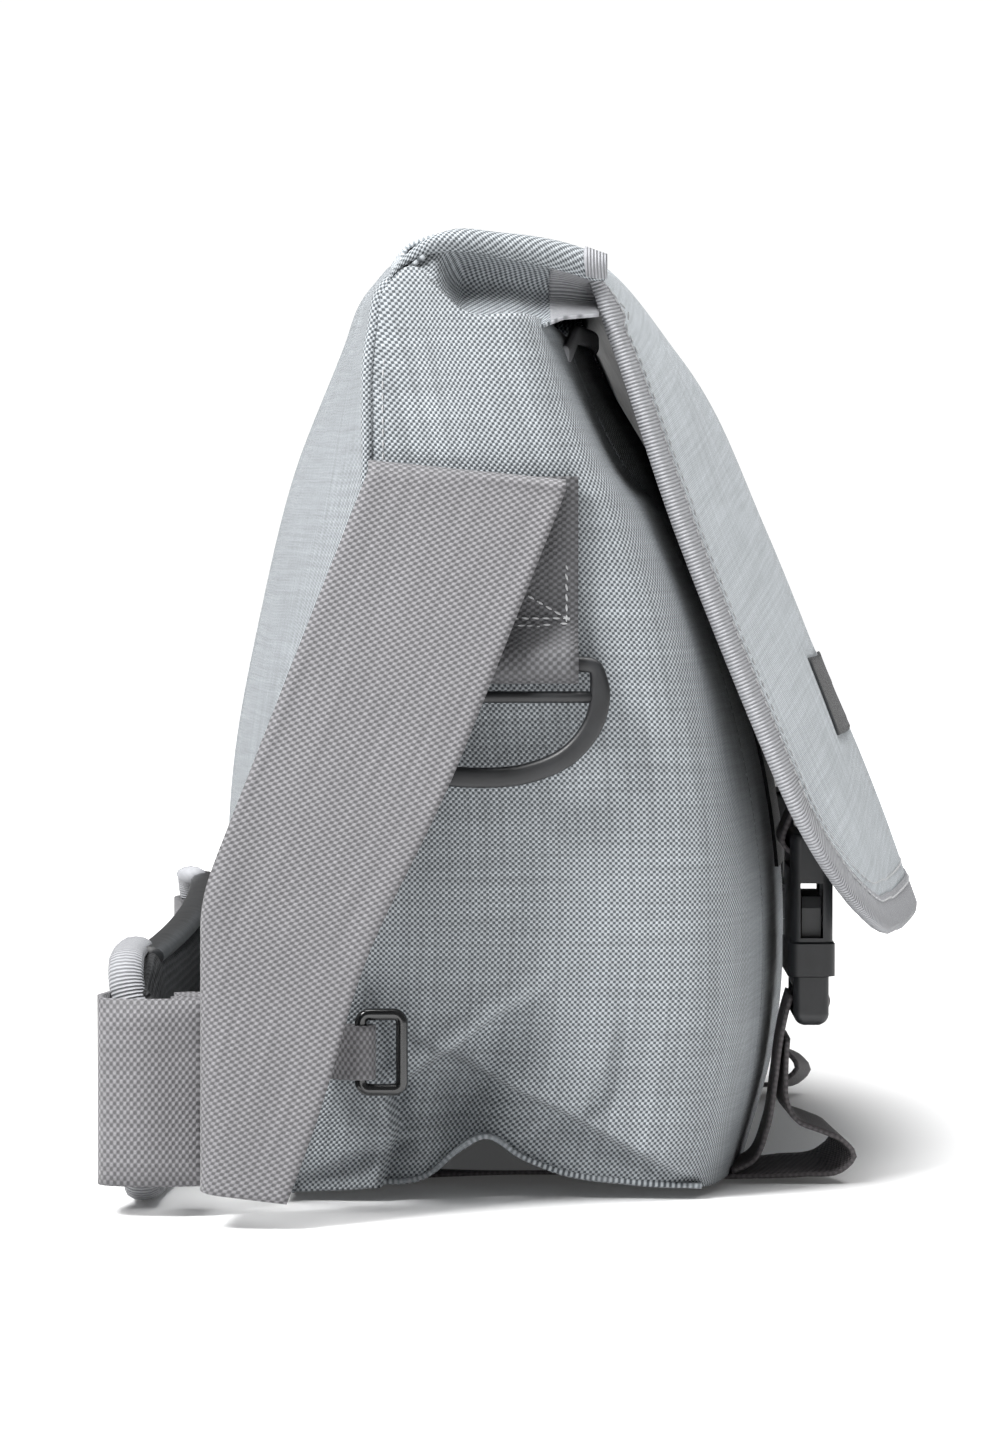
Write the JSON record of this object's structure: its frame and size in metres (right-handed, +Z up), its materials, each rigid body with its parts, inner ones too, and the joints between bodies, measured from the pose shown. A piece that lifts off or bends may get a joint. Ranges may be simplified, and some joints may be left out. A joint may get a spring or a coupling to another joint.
{
  "type": "messenger bag",
  "caption": "Woven courier's shoulder bag standing upright, with a buckled front flap, ring tabs at the sides and a padded webbing strap.",
  "frame": {"origin": "on the floor under the middle of the bag", "axes": "+X to the wearer's side of the far panel, -Y towards the flap's side, +Z up"},
  "size_m": [0.4332, 0.2206, 0.2533],
  "materials": {
    "shell_cloth": "matte",
    "flap_cloth": "matte",
    "liner_cloth": "satin",
    "binding_tape": "matte",
    "strap_webbing": "matte",
    "anchor_webbing": "matte",
    "front_webbing": "matte",
    "pad_mesh": "matte",
    "touch_tape": "matte",
    "label_cloth": "matte",
    "ring_plastic": "matte",
    "buckle_plastic": "satin",
    "small_ring_plastic": "gloss",
    "pin_steel": "satin"
  },
  "bodies": {
    "bag": {"back_panel": "shell_cloth", "front_panel": "shell_cloth", "side_panel_left": "shell_cloth", "side_panel_right": "shell_cloth", "bottom_panel": "shell_cloth", "body_lining": "liner_cloth", "mouth_binding": "binding_tape", "loop_strips": "touch_tape", "front_strap_left": "front_webbing", "front_strap_right": "front_webbing", "front_strap_tail_left": "front_webbing", "front_strap_tail_right": "front_webbing", "strap_anchor_left": "anchor_webbing", "strap_anchor_right": "anchor_webbing", "side_ring_tab_left": "strap_webbing", "side_ring_tab_right": "strap_webbing"},
    "flap": {"flap_shell": "flap_cloth", "flap_lining": "liner_cloth", "flap_binding": "binding_tape", "label_patch": "label_cloth", "hook_strips": "touch_tape", "socket_tab_left": "front_webbing", "socket_tab_right": "front_webbing", "buckle_socket_left": "buckle_plastic", "buckle_socket_right": "buckle_plastic"},
    "strap": {"shoulder_strap_left": "strap_webbing", "shoulder_strap_right": "strap_webbing", "rear_webbing": "strap_webbing", "strap_pad": "pad_mesh", "pad_binding": "binding_tape", "cam_buckle_frame": "buckle_plastic", "cam_buckle_pin": "pin_steel"},
    "cam_lever": {"cam_buckle_lever": "buckle_plastic"},
    "plug_left": {"buckle_plug_left": "buckle_plastic", "plug_webbing_left": "front_webbing"},
    "prong_outer_left": {"buckle_prong_outer_left": "buckle_plastic"},
    "prong_inner_left": {"buckle_prong_inner_left": "buckle_plastic"},
    "ring_left": {"d_ring_left": "ring_plastic"},
    "side_ring_left": {"side_ring_left": "small_ring_plastic"},
    "plug_right": {"buckle_plug_right": "buckle_plastic", "plug_webbing_right": "front_webbing"},
    "prong_outer_right": {"buckle_prong_outer_right": "buckle_plastic"},
    "prong_inner_right": {"buckle_prong_inner_right": "buckle_plastic"},
    "ring_right": {"d_ring_right": "ring_plastic"},
    "side_ring_right": {"side_ring_right": "small_ring_plastic"}
  },
  "joints": [
    {"name": "flap_hinge", "type": "hinge", "parent": "bag", "child": "flap", "pos_m": [0, 0.03277, 0.25], "axis": [-1, 0, 0], "range_deg": [0, 110]},
    {"name": "strap_lift", "type": "hinge", "parent": "bag", "child": "strap", "pos_m": [0, 0.01607, 0.188], "axis": [1, 0, 0], "range_deg": [0, 130]},
    {"name": "cam_lever_hinge", "type": "hinge", "parent": "strap", "child": "cam_lever", "pos_m": [0.20788, 0.04058, 0.12752], "axis": [0.0388, -0.9285, -0.3694], "range_deg": [0, 60]},
    {"name": "buckle_slide_left", "type": "slide", "parent": "flap", "child": "plug_left", "axis": [0, 0, -1], "range_m": [0, 0.024]},
    {"name": "prong_squeeze_outer_left", "type": "hinge", "parent": "plug_left", "child": "prong_outer_left", "pos_m": [-0.1142, -0.07523, 0.0563], "axis": [0, 1, 0], "range_deg": [0, 8], "stiffness_Nm_per_rad": 0.02},
    {"name": "prong_squeeze_inner_left", "type": "hinge", "parent": "plug_left", "child": "prong_inner_left", "pos_m": [-0.0958, -0.07523, 0.0563], "axis": [0, -1, 0], "range_deg": [0, 8], "stiffness_Nm_per_rad": 0.02},
    {"name": "ring_swing_left", "type": "hinge", "parent": "bag", "child": "ring_left", "pos_m": [-0.192, 0.01237, 0.1415], "axis": [0, 1, 0], "range_deg": [-8, 14]},
    {"name": "side_ring_swing_left", "type": "hinge", "parent": "bag", "child": "side_ring_left", "pos_m": [-0.1755, 0.04367, 0.041], "axis": [0, 0, -1], "range_deg": [-15, 35]},
    {"name": "buckle_slide_right", "type": "slide", "parent": "flap", "child": "plug_right", "axis": [0, 0, -1], "range_m": [0, 0.024]},
    {"name": "prong_squeeze_outer_right", "type": "hinge", "parent": "plug_right", "child": "prong_outer_right", "pos_m": [0.1142, -0.07523, 0.0563], "axis": [0, -1, 0], "range_deg": [0, 8], "stiffness_Nm_per_rad": 0.02},
    {"name": "prong_squeeze_inner_right", "type": "hinge", "parent": "plug_right", "child": "prong_inner_right", "pos_m": [0.0958, -0.07523, 0.0563], "axis": [0, 1, 0], "range_deg": [0, 8], "stiffness_Nm_per_rad": 0.02},
    {"name": "ring_swing_right", "type": "hinge", "parent": "bag", "child": "ring_right", "pos_m": [0.192, 0.01237, 0.1415], "axis": [0, -1, 0], "range_deg": [-8, 14]},
    {"name": "side_ring_swing_right", "type": "hinge", "parent": "bag", "child": "side_ring_right", "pos_m": [0.1755, 0.04367, 0.041], "axis": [0, 0, 1], "range_deg": [-15, 35]}
  ]
}
